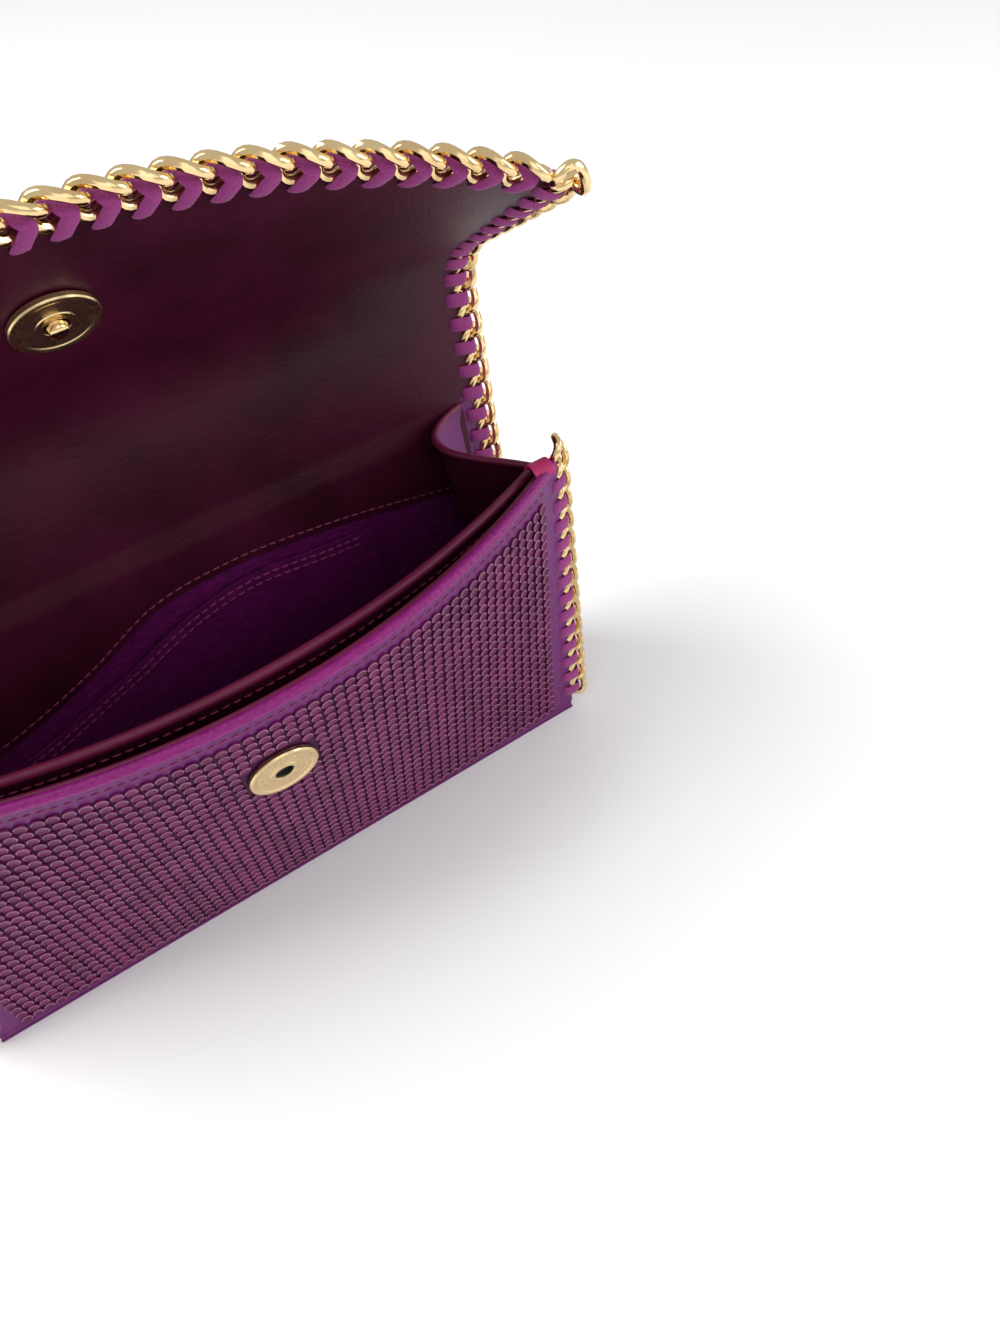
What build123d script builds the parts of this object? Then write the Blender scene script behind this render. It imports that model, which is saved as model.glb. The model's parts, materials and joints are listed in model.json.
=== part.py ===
"""A flap wallet with an open mouth, chain-trimmed edges and a magnetic snap.

Millimetres, +Z up, +X to the wallet's right, +Y to its back. The origin is on the
floor, under the middle of the base. The wallet stands on its base with the flap
raised: a short top strip rises from the back panel, and the flap leans forward
from a crease above it.
"""
from build123d import *
from math import atan2, cos, degrees, radians, sin
import os

# ---- driving dimensions ------------------------------------------------------
HALF_WIDTH = 91.0          # middle of the wallet to the edge of a panel
BASE_DEPTH = 36.0          # outside front to outside back, on the floor
PANEL_HEIGHT = 94.0        # front and back panels, measured up the panel
STRIP_LENGTH = 35.5        # top strip, back hinge line to crease
FLAP_LENGTH = 55.0         # flap, crease to free edge
BACK_LEAN = 8.0            # degrees the back panel leans back from upright
STRIP_LEAN = 8.0           # degrees the top strip leans back from upright
FLAP_LEAN = 54.0           # degrees the flap's sides lean forward from upright
FLAP_BOW = 20.0            # how far its free edge bows out between the corners
FRONT_CORNER_SHIFT = 8.0   # how far the front panel's top corners lean inwards
FRONT_BOW = 26.0           # how far its top edge bows out between them
DIVIDER_BOTTOM = -7.5      # y of the divider's lower edge
DIVIDER_CORNER = -4.6      # y of its top corners
DIVIDER_BOW = 21.0
DIVIDER_TOP = 91.0
DIVIDER_INSET = 4.8        # panel edge to the divider's edge, inside the stitches

SATIN = 0.8                # cloth with its backing
BOARD = 1.0                # stiffener
LEATHER = 0.8              # lining
POCKET_CLOTH = 0.6
GLUE = 0.1                 # gap between two layers
CRYSTAL = 1.0              # height of the layer of stones
STONE_GAP = 0.15           # cloth to the underside of the stones
STONE_MARGIN = 6.5         # panel edge to the first column of stones
WALL = SATIN + BOARD + LEATHER + 2 * GLUE
HINGE_GAP = 1.9            # hinge line to the cut edge of a board

CHAIN_PITCH = 6.5
WIRE = 0.85                # radius of the chain's wire
LINK_HALF_LENGTH = 4.4
LINK_HALF_WIDTH = 2.3
CHAIN_OFFSET = 2.7         # panel edge to the middle of the chain
LACE_WIDTH = 2.2
LACE_THICK = 0.5
LACE_REACH = 3.0           # panel's middle surface to a lace's middle
SLOT_INSET = 2.9           # panel edge to the punched slots

SNAP_RADIUS = 8.5
SNAP_DISC = 1.6            # thickness of a snap's disc
SNAP_DROP = 28.0           # front panel's top to the middle of the snap
FLAP_SNAP_DROP = 32.0      # crease to the snap's other half, round the top edge
STUD_RADIUS = 2.2
STUD_LENGTH = 1.8
SOCKET_RADIUS = 2.7

THREAD = 0.4
BINDING_RADIUS = 1.1       # rolled top edges
FRONT_Y = -BASE_DEPTH / 2
BACK_Y = BASE_DEPTH / 2

nodes = {}


# ---- helpers -------------------------------------------------------------------
def leaf_plane(y, z, lean, outside):
    """A panel's plane: x along the wallet, y up the panel, z out of its outer face.

    lean is in degrees from upright, positive to the back. outside is +1 for a panel
    that faces the back and -1 for one that faces the front.
    """
    up = Vector(0, sin(radians(lean)), cos(radians(lean)))
    out = Vector(0, cos(radians(lean)), -sin(radians(lean))) * outside
    across = up.cross(out)
    return Plane(origin=(0, y, z), x_dir=across, z_dir=out)


def sheet(plane, half_width, low, high, inner, outer):
    """A flat layer: low to high up the panel, inner to outer through its thickness."""
    middle = (low + high) / 2
    block = Box(2 * half_width, high - low, outer - inner)
    return plane * Pos(0, middle, (inner + outer) / 2) * block


def arc_face(half_width, y_end, bow, depth_in, depth_out, z):
    """A band between two arcs that bow towards -Y, lying level at height z."""
    outer = [(-half_width, y_end - depth_out), (0, y_end - bow - depth_out), (half_width, y_end - depth_out)]
    inner = [(half_width, y_end - depth_in), (0, y_end - bow - depth_in), (-half_width, y_end - depth_in)]
    sides = [Line(outer[2], inner[0]), Line(inner[2], outer[0])]
    curves = [ThreePointArc(*outer), ThreePointArc(*inner)]
    wire = Wire([curves[0].edge(), sides[0].edge(), curves[1].edge(), sides[1].edge()])
    return Pos(0, 0, z) * Face(wire)


def bowed_sheet(half_width, bottom, corner, bow, low, high, full, inner, outer):
    """A layer that is straight at its foot and bowed out at its top.

    bottom and corner are the outer face's y at height 0 and at height full, where
    the bow is whole. The layer runs from height low to height high.
    """
    ends = []
    for z in (low, high):
        share = z / full
        y_end = bottom + (corner - bottom) * share
        width_share = (half_width / HALF_WIDTH) ** 2
        side = y_end - bow * share * (1 - width_share)
        ends.append(arc_face(half_width, side, max(bow * share * width_share, 0.02), inner, outer, z))
    return loft(ends, ruled=True)


def ring_link():
    """One oval ring of the chain, long way along X, lying level."""
    run = LINK_HALF_LENGTH - LINK_HALF_WIDTH
    bar = Rot(0, 90, 0) * Cylinder(WIRE, 2 * run)
    ring = Pos(0, LINK_HALF_WIDTH, 0) * bar + Pos(0, -LINK_HALF_WIDTH, 0) * bar
    torus = Torus(LINK_HALF_WIDTH, WIRE)
    reach = LINK_HALF_WIDTH + 2 * WIRE
    for side in (-1, 1):
        half = Pos(side * reach / 2, 0, 0) * Box(reach, 2 * reach, 4 * WIRE)
        ring += Pos(side * run, 0, 0) * (torus & half)
    return ring


LINK = ring_link()


def stations(middle, count):
    """Evenly spaced places for links and stitches, at the chain's pitch."""
    return [middle + (i - (count - 1) / 2) * CHAIN_PITCH for i in range(count)]


def chain(place, spots):
    """A link at each spot, every other one tilted the other way."""
    return [place(spot) * Rot(45 if i % 2 else -45, 0, 0) * LINK for i, spot in enumerate(spots)]


def lace_ring():
    """One stitch: a flat loop round a panel's edge, chain to the +Y side, lace along X."""
    span = CHAIN_OFFSET + SLOT_INSET
    outer = RectangleRounded(span + LACE_THICK, 2 * LACE_REACH + LACE_THICK, 1.0)
    inner = RectangleRounded(span - LACE_THICK, 2 * LACE_REACH - LACE_THICK, 0.5)
    loop = extrude(outer - inner, LACE_WIDTH / 2, both=True)
    centred = Plane(origin=(0, 0, 0), x_dir=(0, 1, 0), z_dir=(1, 0, 0)) * loop
    return Pos(0, -span / 2, 0) * centred


LACE = lace_ring()
SLOT = Pos(0, -CHAIN_OFFSET - SLOT_INSET, 0) * Box(LACE_WIDTH + 0.3, LACE_THICK + 0.3, 9)


def stitches(place, spots):
    """The stitches of a run, and the slot cutters that let them through."""
    return [place(spot) * LACE for spot in spots], [place(spot) * SLOT for spot in spots]


def trim(places, spots):
    """Chain, stitches and slot cutters along both sides of a panel."""
    links, rings, cutters = [], [], []
    for place in places:
        loops, slots = stitches(place, spots)
        links += chain(place, spots)
        rings += loops
        cutters += slots
    return links, rings, cutters


def side_place(plane, side, depth):
    """Placement of a chain up a flat panel's side: X up the panel, Y away from it."""
    edge = HALF_WIDTH + CHAIN_OFFSET

    def place(along):
        spot = plane.from_local_coords(Vector(side * edge, along, depth))
        return Location(Plane(origin=spot, x_dir=plane.y_dir * -side, z_dir=plane.z_dir))
    return place


def bowed_place(side, bottom, corner, bow, full):
    """The same for a bowed panel, whose side turns outwards towards its far edge."""
    foot = Vector(side * HALF_WIDTH, bottom, 0)
    head = Vector(side * HALF_WIDTH, corner, full)
    up = (head - foot).normalized()

    def place(along):
        turn = atan2(2 * bow * along / full, HALF_WIDTH)
        out = Vector(side * cos(turn), sin(turn), 0)
        normal = Vector(side * sin(turn), -cos(turn), 0)
        spot = foot + up * along + out * CHAIN_OFFSET - normal * (WALL / 2)
        return Location(Plane(origin=spot, x_dir=up * -side, z_dir=normal))
    return place


def group(name, solids):
    """Store separate solids as one node."""
    nodes[name] = Compound(children=[s for item in solids for s in item.solids()])


def cut(body, cutters):
    for cutter in cutters:
        body = body - cutter
    return body


def panel_layers(prefix, plane, half_width, low, high, cutters, lining=True):
    """Outer satin, board and lining of a flat panel whose outer face is at depth 0."""
    depth = 0.0
    stack = [("outer", SATIN), ("board", BOARD)]
    if lining:
        stack.append(("lining", LEATHER))
    for name, thick in stack:
        inset = 0.6 if name == "board" else 0.0
        layer = sheet(plane, half_width - inset, low + inset, high - inset, depth - thick, depth)
        nodes[f"{prefix}_{name}"] = cut(layer, cutters)
        depth -= thick + GLUE


# ---- base and back ---------------------------------------------------------------
def base():
    inside = BASE_DEPTH / 2
    z = 0.0
    for name, thick, inset in (("outer", SATIN, 0.0), ("board", BOARD, 0.6), ("lining", LEATHER, WALL + 0.8)):
        plate = Box(2 * (HALF_WIDTH - inset), 2 * (inside - inset), thick)
        nodes[f"base_{name}"] = Pos(0, 0, z + thick / 2) * plate
        z += thick + GLUE


BACK = leaf_plane(BACK_Y, WALL + 0.2, BACK_LEAN, 1)
BACK_TOP = PANEL_HEIGHT - WALL
BACK_HINGE = BACK.from_local_coords(Vector(0, BACK_TOP, -WALL / 2))


# The wave-cut lower edge of the leather tail, and the slip pocket's hem below it.
TAIL_EDGE = [(-87, 47), (-55, 51), (-27, 60.5), (-7, 70), (15, 72.5), (40, 70.5), (87, 62)]
HEM_EDGE = [(-66, 45), (-46, 48.5), (-21, 57.5), (0, 66), (17, 69), (35, 68), (53, 65.5)]
POCKET_FOOT = 6.0


def wave(points, shift, trim=0):
    """A smooth edge through the points, moved up by shift and shorter by trim at each end."""
    first, last = points[0], points[-1]
    ends = [(first[0] + trim, first[1] + shift), (last[0] - trim, last[1] + shift)]
    return Spline([ends[0]] + [(x, y + shift) for x, y in points[1:-1]] + [ends[1]])


def dashes(plane, points, depth):
    """Thread stitches along a polyline on a panel, each a short bar."""
    bars = []
    for (x0, y0), (x1, y1) in zip(points, points[1:]):
        turn = degrees(atan2(y1 - y0, x1 - x0))
        bar = Box(1.9, THREAD, THREAD)
        bars.append(plane * Pos((x0 + x1) / 2, (y0 + y1) / 2, depth) * Rot(0, 0, turn) * bar)
    return bars


def curve_points(curve, spacing=2.6):
    count = max(2, int(curve.length / spacing))
    spots = [curve @ (i / count) for i in range(count + 1)]
    return [(p.X, p.Y) for p in spots]


def patch(edge, level):
    """The flat shape between a wavy edge and a straight one at the given level."""
    (x0, y0), (x1, y1) = [(p.X, p.Y) for p in (edge @ 0, edge @ 1)]
    sides = [Line((x1, y1), (x1, level)), Line((x1, level), (x0, level)), Line((x0, level), (x0, y0))]
    return Face(Wire([edge.edge()] + [side.edge() for side in sides]))


def back():
    places = [side_place(BACK, side, -WALL / 2) for side in (-1, 1)]
    chains, laces, cutters = trim(places, stations(BACK_TOP / 2 - 0.6, 13))
    panel_layers("back", BACK, HALF_WIDTH, 0, BACK_TOP - HINGE_GAP, cutters)
    nodes["back_crystals"] = sheet(BACK, HALF_WIDTH - STONE_MARGIN, 2, BACK_TOP - HINGE_GAP - 0.5,
                                   STONE_GAP, STONE_GAP + CRYSTAL)
    group("back_side_chains", chains)
    group("back_side_laces", laces)
    # The leather tail of the flap's lining, glued down over the satin lining.
    depth = -WALL - GLUE
    tail = patch(wave(TAIL_EDGE, 0), BACK_TOP - HINGE_GAP - 0.5)
    nodes["lining_tail"] = BACK * Pos(0, 0, depth - LEATHER) * extrude(tail, LEATHER, dir=(0, 0, 1))
    seam = curve_points(wave(TAIL_EDGE, 1.8, 1))
    group("lining_tail_stitching", dashes(BACK, seam, depth - LEATHER - THREAD / 2 - 0.02))
    # The slip pocket: a satin patch sewn on at its sides and foot, open at its top.
    pocket_depth = depth - LEATHER - 0.6
    pocket = patch(wave(HEM_EDGE, 0), POCKET_FOOT)
    pocket = extrude(pocket, POCKET_CLOTH, dir=(0, 0, 1))
    nodes["slip_pocket"] = BACK * Pos(0, 0, pocket_depth - POCKET_CLOTH) * pocket
    hem = curve_points(wave(HEM_EDGE, -2.4, 2))
    group("slip_pocket_stitching", dashes(BACK, hem, pocket_depth - POCKET_CLOTH - THREAD / 2 - 0.02))


# ---- gussets ------------------------------------------------------------------------
def gusset_section(side, z, front, rear, valley, skin, thick):
    """A level V-shaped band: from the back panel's edge in to a fold and out again."""
    middle = (front + rear) / 2 + 2
    edge = HALF_WIDTH - 0.6 - skin
    fold = HALF_WIDTH - valley - skin
    line = [(edge, rear), (fold, middle), (edge, front)]
    far = [(x - thick, y) for x, y in reversed(line)]
    points = [(side * x, y, z) for x, y in line + far]
    wire = Wire.make_polygon([Vector(*p) for p in points], close=True)
    return Face(wire)


def gussets():
    low, high = WALL + 1.2, PANEL_HEIGHT - 4
    rear_low = BACK_Y - WALL - 2.4
    rear_high = rear_low + high * sin(radians(BACK_LEAN))
    front_low = DIVIDER_BOTTOM + 2.2
    front_high = DIVIDER_CORNER + 2.2
    for side, name in ((-1, "left"), (1, "right")):
        for skin, thick, layer in ((0.0, 0.6, "outer"), (0.8, 0.6, "lining")):
            ends = [gusset_section(side, low, front_low, rear_low, 3.0, skin, thick),
                    gusset_section(side, high, front_high, rear_high, 15.0, skin, thick)]
            nodes[f"gusset_{name}_{layer}"] = loft(ends, ruled=True)


# ---- front --------------------------------------------------------------------------
FRONT_LOW = WALL + 0.2


def front_surface(x, z):
    """y of the front panel's outer face."""
    share = z / PANEL_HEIGHT
    return FRONT_Y + FRONT_CORNER_SHIFT * share - FRONT_BOW * share * (1 - (x / HALF_WIDTH) ** 2)


def front_layer(half_width, low, high, inner, outer):
    return bowed_sheet(half_width, FRONT_Y, FRONT_Y + FRONT_CORNER_SHIFT, FRONT_BOW,
                       low, high, PANEL_HEIGHT, inner, outer)


def rolled_edge(half_width, y_corner, bow, z, radius):
    """A rolled edge: a bar that follows the top of a bowed panel."""
    path = ThreePointArc((-half_width, y_corner, z), (0, y_corner - bow, z), (half_width, y_corner, z))
    section = Plane(origin=path @ 0, z_dir=path % 0) * Circle(radius)
    return sweep(section, path=path)


def front():
    corner_y = FRONT_Y + FRONT_CORNER_SHIFT
    places = [bowed_place(side, FRONT_Y, corner_y, FRONT_BOW, PANEL_HEIGHT) for side in (-1, 1)]
    chains, laces, cutters = trim(places, stations(PANEL_HEIGHT / 2 + 0.6, 13))
    top = PANEL_HEIGHT - 2 * BINDING_RADIUS - 0.1
    depth = 0.0
    for name, thick in (("outer", SATIN), ("board", BOARD), ("lining", LEATHER)):
        inset = {"outer": 0.0, "board": 0.8, "lining": 1.4}[name]
        layer = front_layer(HALF_WIDTH - inset, FRONT_LOW, top, depth - thick, depth)
        nodes[f"front_{name}"] = cut(layer, cutters)
        depth -= thick + GLUE
    stones = front_layer(HALF_WIDTH - STONE_MARGIN, FRONT_LOW + 0.5, top - 5, 0.2, CRYSTAL + 0.2)
    lean = degrees(atan2(front_surface(0, 0) - front_surface(0, PANEL_HEIGHT), PANEL_HEIGHT))
    snap_z = PANEL_HEIGHT - SNAP_DROP
    face = leaf_plane(front_surface(0, snap_z), snap_z, -lean, -1)
    clearance = face * Pos(0, 0, 1) * Cylinder(SNAP_RADIUS + 0.3, 6)
    nodes["front_crystals"] = stones - clearance
    corner = corner_y + WALL / 2
    nodes["front_top_binding"] = rolled_edge(HALF_WIDTH - 1, corner, FRONT_BOW,
                                             PANEL_HEIGHT - BINDING_RADIUS, BINDING_RADIUS)
    group("front_side_chains", chains)
    group("front_side_laces", laces)
    # Bar tacks that hold the layers together at the two top corners.
    tacks = [Pos(side * (HALF_WIDTH - 4.5), corner - 0.8, PANEL_HEIGHT + 0.9) * Box(5, 4.4, 1.4)
             for side in (-1, 1)]
    group("corner_bar_tacks", tacks)
    # The female half of the snap: a cap with a hole, its magnet, and a washer behind.
    cap = Cylinder(SNAP_RADIUS, SNAP_DISC) - Cylinder(SOCKET_RADIUS, 3 * SNAP_DISC)
    cap = cap - Pos(0, 0, -0.4) * Cylinder(SNAP_RADIUS - 0.8, SNAP_DISC)
    nodes["snap_socket_cap"] = face * Pos(0, 0, SNAP_DISC / 2 + 0.2) * cap
    magnet = Cylinder(SNAP_RADIUS - 1.0, 0.9) - Cylinder(SOCKET_RADIUS + 0.2, 3)
    nodes["snap_socket_magnet"] = face * Pos(0, 0, 0.68) * magnet
    washer = Cylinder(SNAP_RADIUS - 1.5, 0.5) - Cylinder(SOCKET_RADIUS, 3)
    nodes["snap_socket_washer"] = face * Pos(0, 0, -WALL - 0.6) * washer


# ---- divider --------------------------------------------------------------------------
def divider():
    half = HALF_WIDTH - DIVIDER_INSET
    low = WALL + 1.0
    top = DIVIDER_TOP - 2 * BINDING_RADIUS - 0.1
    depth = 0.0
    for name, thick in (("front_leather", 0.7), ("board", 0.6), ("back_leather", 0.7)):
        inset = 0.6 if name == "board" else 0.0
        nodes[f"divider_{name}"] = bowed_sheet(half - inset, DIVIDER_BOTTOM, DIVIDER_CORNER, DIVIDER_BOW,
                                               low + inset, top - inset, DIVIDER_TOP, depth - thick, depth)
        depth -= thick + GLUE
    nodes["divider_rolled_top"] = rolled_edge(half - 1, DIVIDER_CORNER + 1.1, DIVIDER_BOW,
                                              DIVIDER_TOP - BINDING_RADIUS, BINDING_RADIUS)


# ---- top strip and flap ---------------------------------------------------------------
STRIP = leaf_plane(BACK_HINGE.Y, BACK_HINGE.Z, STRIP_LEAN, 1)
CREASE = STRIP.from_local_coords(Vector(0, STRIP_LENGTH, 0))
FLAP_UP = Vector(0, -sin(radians(FLAP_LEAN)), cos(radians(FLAP_LEAN)))
# The flap is made upright and bowed towards -Y, with its crease along X, and then laid in place.
FLAP_PLACE = Location(Plane(origin=CREASE, x_dir=(-1, 0, 0), z_dir=FLAP_UP))


def outer_face(plane):
    """The plane of the outer face of a panel whose hinge line is in mid-wall."""
    return Plane(plane.from_local_coords(Vector(0, 0, WALL / 2)), x_dir=plane.x_dir, z_dir=plane.z_dir)


def strip():
    places = [side_place(STRIP, side, 0) for side in (-1, 1)]
    chains, laces, cutters = trim(places, stations(STRIP_LENGTH / 2, 4))
    face = outer_face(STRIP)
    panel_layers("strip", face, HALF_WIDTH, HINGE_GAP, STRIP_LENGTH - HINGE_GAP, cutters)
    nodes["strip_crystals"] = sheet(face, HALF_WIDTH - STONE_MARGIN, HINGE_GAP + 0.5,
                                    STRIP_LENGTH - HINGE_GAP - 0.5, STONE_GAP, STONE_GAP + CRYSTAL)
    group("strip_side_chains", chains)
    group("strip_side_laces", laces)


def flap_layer(half_width, low, high, inner, outer):
    return bowed_sheet(half_width, -WALL / 2, -WALL / 2, FLAP_BOW, low, high, FLAP_LENGTH, inner, outer)


def edge_place(along):
    """Placement of the free edge's chain: X along the bowed edge, Y off it."""
    slope = 2 * FLAP_BOW * along / HALF_WIDTH ** 2
    spot = Vector(along, -FLAP_BOW * (1 - (along / HALF_WIDTH) ** 2), FLAP_LENGTH + CHAIN_OFFSET)
    return Location(Plane(origin=spot, x_dir=(1, slope, 0), z_dir=(slope, -1, 0)))


def flap():
    places = [bowed_place(side, -WALL / 2, -WALL / 2, FLAP_BOW, FLAP_LENGTH) for side in (-1, 1)]
    chains, laces, cutters = trim(places, stations(FLAP_LENGTH / 2 + 0.2, 8))
    edge_links, edge_rings, slots = trim([edge_place], stations(0, 27))
    cutters += slots
    made = {}
    depth = 0.0
    for name, thick, inset in (("outer", SATIN, 0.0), ("board", BOARD, 0.8), ("lining", LEATHER, 1.6)):
        layer = flap_layer(HALF_WIDTH - inset, HINGE_GAP, FLAP_LENGTH - inset / 2, depth - thick, depth)
        made[f"flap_{name}"] = [cut(layer, cutters)]
        depth -= thick + GLUE
    made["flap_crystals"] = [flap_layer(HALF_WIDTH - STONE_MARGIN, HINGE_GAP + 0.5,
                                        FLAP_LENGTH - STONE_MARGIN, STONE_GAP, STONE_GAP + CRYSTAL)]
    made["flap_side_chains"] = chains
    made["flap_side_laces"] = laces
    made["flap_edge_chain"] = edge_links
    made["flap_edge_laces"] = edge_rings
    # The male half of the snap, on the lining: a disc with a stud and a magnet.
    share = FLAP_SNAP_DROP / FLAP_LENGTH
    lean = -degrees(atan2(FLAP_BOW, FLAP_LENGTH))
    inner = leaf_plane(WALL / 2 - FLAP_BOW * share, FLAP_SNAP_DROP, lean, 1)
    disc = Cylinder(SNAP_RADIUS, SNAP_DISC) - Pos(0, 0, -0.4) * Cylinder(SNAP_RADIUS - 0.8, SNAP_DISC)
    made["snap_stud_cap"] = [inner * Pos(0, 0, SNAP_DISC / 2 + 0.2) * disc]
    made["snap_stud_magnet"] = [inner * Pos(0, 0, 0.7) * Cylinder(SNAP_RADIUS - 1.0, 0.9)]
    dome = Cylinder(STUD_RADIUS, STUD_LENGTH)
    dome = fillet(dome.edges().group_by(Axis.Z)[-1], 0.9)
    made["snap_stud"] = [inner * Pos(0, 0, SNAP_DISC + 0.22 + STUD_LENGTH / 2) * dome]
    for name, solids in made.items():
        group(name, [FLAP_PLACE * solid for solid in solids])


base()
back()
gussets()
front()
divider()
strip()
flap()

os.makedirs("parts", exist_ok=True)
for node, solid in nodes.items():
    export_step(solid, f"parts/{node}.step")
print(len(nodes), "nodes; back hinge", BACK_HINGE, "crease", CREASE)
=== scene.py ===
# %% [markdown]
# A chain wallet stands open on its base. Its panels are satin over board, covered with
# small plum stones and lined with burgundy leather. A gold curb chain is laced round the
# sides and the flap's free edge. This lesson dresses the imported CAD model: every piece is
# a mesh made from a few curved surfaces, and it rides on a CAD body or is fixed in place.

# %% Load the frame
import json
import math
import bmesh
import bpy
import numpy as np
from mathutils import Matrix, Vector


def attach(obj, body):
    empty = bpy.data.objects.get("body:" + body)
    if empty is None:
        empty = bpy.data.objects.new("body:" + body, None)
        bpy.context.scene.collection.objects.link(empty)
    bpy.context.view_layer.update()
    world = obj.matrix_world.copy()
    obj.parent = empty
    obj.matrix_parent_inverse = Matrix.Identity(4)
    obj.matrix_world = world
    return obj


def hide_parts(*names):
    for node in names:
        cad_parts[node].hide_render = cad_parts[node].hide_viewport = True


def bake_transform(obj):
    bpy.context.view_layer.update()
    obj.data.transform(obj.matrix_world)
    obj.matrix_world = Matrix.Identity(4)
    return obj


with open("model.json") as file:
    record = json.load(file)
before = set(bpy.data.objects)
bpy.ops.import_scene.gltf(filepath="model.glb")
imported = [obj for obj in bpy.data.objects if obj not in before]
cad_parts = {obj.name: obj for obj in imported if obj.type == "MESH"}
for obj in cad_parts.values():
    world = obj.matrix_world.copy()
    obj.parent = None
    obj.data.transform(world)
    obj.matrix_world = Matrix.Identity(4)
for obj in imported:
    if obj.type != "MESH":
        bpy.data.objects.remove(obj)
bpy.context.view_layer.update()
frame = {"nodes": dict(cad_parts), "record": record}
MM = 0.001
rng = np.random.default_rng(7)

# %% [markdown]
# The wallet's sizes come first, in millimetres and the same as the CAD model's. The back
# panel, the strip above it and the flap are one wall, so one length up that wall, from the
# foot of the back panel, says where anything on it is.

# %% Sizes of the wallet
HALF = 91.0                 # half of the wallet's width
HALF_DEPTH = 18.0           # half of the base's depth
WALL = 2.8                  # satin, board and leather together
HINGE = 91.2                # up the wall: the back panel's top, the crease and the free edge
CREASE = 126.7
FLAP = 55.0
EDGE = CREASE + FLAP
FLAP_BOW = 20.0             # how far each panel's middle bows out at its end
FRONT_BOW = 26.0
DIVIDER_BOW = 21.0
CURL = 13.0                 # the length of wall that the crease's curve takes, each way
FRONT_TALL = 94.0
FRONT_SHIFT = 8.0           # how far a panel's top corners lie behind its foot
DIVIDER_TALL = 91.0
DIVIDER_FOOT = -7.5
DIVIDER_SHIFT = 2.9
DIVIDER_SKIN = 1.1          # half of the divider's thickness
DIVIDER_HALF = 86.2
SOCKET_Z = 66.0             # the snap's middle on the front, and its drop below the crease
STUD_DROP = 32.0
PITCH = 6.5                 # the chain's pitch, and how far it lies outside the edge
CHAIN_OUT = 2.7
LEAN = math.radians(8)      # how far the back panel and the flap lean back from upright
TIP = math.radians(-54)


def rise(angle):
    return np.array([0.0, math.sin(angle), math.cos(angle)])


def outward(angle):
    return np.array([0.0, math.cos(angle), -math.sin(angle)])


FOOT = np.array([0.0, HALF_DEPTH, 3.0]) - outward(LEAN) * WALL / 2
CREASE_AT = FOOT + rise(LEAN) * CREASE
HINGE_AT = FOOT + rise(LEAN) * HINGE
print("hinge", HINGE_AT, "crease", CREASE_AT)

# %% [markdown]
# A surface here is a function: give it a place across the wallet and a place up the panel,
# and it gives a point. The crease is rounded with a short curve in place of a sharp fold,
# and the flap bows outwards in its middle, as a flap does that has been shaped to close
# over a full wallet.

# %% The wall, the front and the divider as surfaces
def spread(x, s):
    return np.broadcast_arrays(np.asarray(x, float), np.asarray(s, float))


def wall_mid(x, s):
    """The middle of the wall: straight, round the crease, and then straight but bowed."""
    x, s = spread(x, s)
    v = (s - CREASE)[..., None]
    t = np.clip((v + CURL) / (2 * CURL), 0, 1)
    start = CREASE_AT - CURL * rise(LEAN)
    end = CREASE_AT + CURL * rise(TIP)
    curve = (1 - t) ** 2 * start + 2 * t * (1 - t) * CREASE_AT + t ** 2 * end
    straight = np.minimum(v + CURL, 0) * rise(LEAN) + np.maximum(v - CURL, 0) * rise(TIP)
    ramp = np.where(v > CURL, v, np.clip(v + CURL, 0, None) ** 2 / (4 * CURL))
    bow = FLAP_BOW / FLAP * ramp * (1 - (x / HALF)[..., None] ** 2)
    point = curve + straight + bow * outward(TIP)
    point[..., 0] = x
    return point


def front_mid(x, z):
    x, z = spread(x, z)
    share = z / FRONT_TALL
    bow = FRONT_BOW * share * (1 - (x / HALF) ** 2)
    y = -HALF_DEPTH + FRONT_SHIFT * share - bow + WALL / 2
    return np.stack([x, y, z], -1)


def divider_mid(x, z):
    x, z = spread(x, z)
    share = z / DIVIDER_TALL
    bow = DIVIDER_BOW * share * (1 - (x / HALF) ** 2)
    y = DIVIDER_FOOT + DIVIDER_SHIFT * share - bow + DIVIDER_SKIN
    return np.stack([x, y, z], -1)


def unit(v):
    return v / np.linalg.norm(v, axis=-1, keepdims=True)


def axes(surface, x, s, out):
    """Directions across the panel, up it, and out of its outer face."""
    x, s = spread(x, s)
    across = unit(surface(x + 0.05, s) - surface(x - 0.05, s))
    up = unit(surface(x, s + 0.05) - surface(x, s - 0.05))
    return across, up, unit(np.cross(up, across)) * out


def off(surface, x, s, depth, out=1):
    """A point at some depth from a panel's middle, positive towards its outside."""
    x, s = spread(x, s)
    normal = axes(surface, x, s, out)[2]
    return surface(x, s) + normal * np.asarray(depth, float)[..., None]


print("flap's free edge, middle and corner:", wall_mid(0, EDGE).round(1), wall_mid(HALF, EDGE).round(1))

# %% [markdown]
# Three ways of making a mesh do for nearly every piece: a thin closed sheet between two
# grids of points, a round or flat cord swept along a path, and a turned shape for the snap.
# Each gives plain lists, so many small shapes can be joined into one piece.

# %% Sheet, cord and turned shape
def closed_sheet(outer, inner):
    """A thin sheet with two faces and a rim, from two grids of points of the same size."""
    n, m = outer.shape[:2]
    base = n * m
    faces = []
    for i in range(n - 1):
        for j in range(m - 1):
            a, b, c, d = i * m + j, i * m + j + 1, (i + 1) * m + j + 1, (i + 1) * m + j
            faces += [(a, b, c, d), (base + d, base + c, base + b, base + a)]
    loop = [i * m for i in range(n)] + [(n - 1) * m + j for j in range(1, m)]
    loop += [i * m + m - 1 for i in range(n - 2, -1, -1)] + list(range(m - 2, 0, -1))
    faces += [(a, b, base + b, base + a) for a, b in zip(loop, loop[1:] + loop[:1])]
    return np.vstack([outer.reshape(-1, 3), inner.reshape(-1, 3)]), faces


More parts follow.
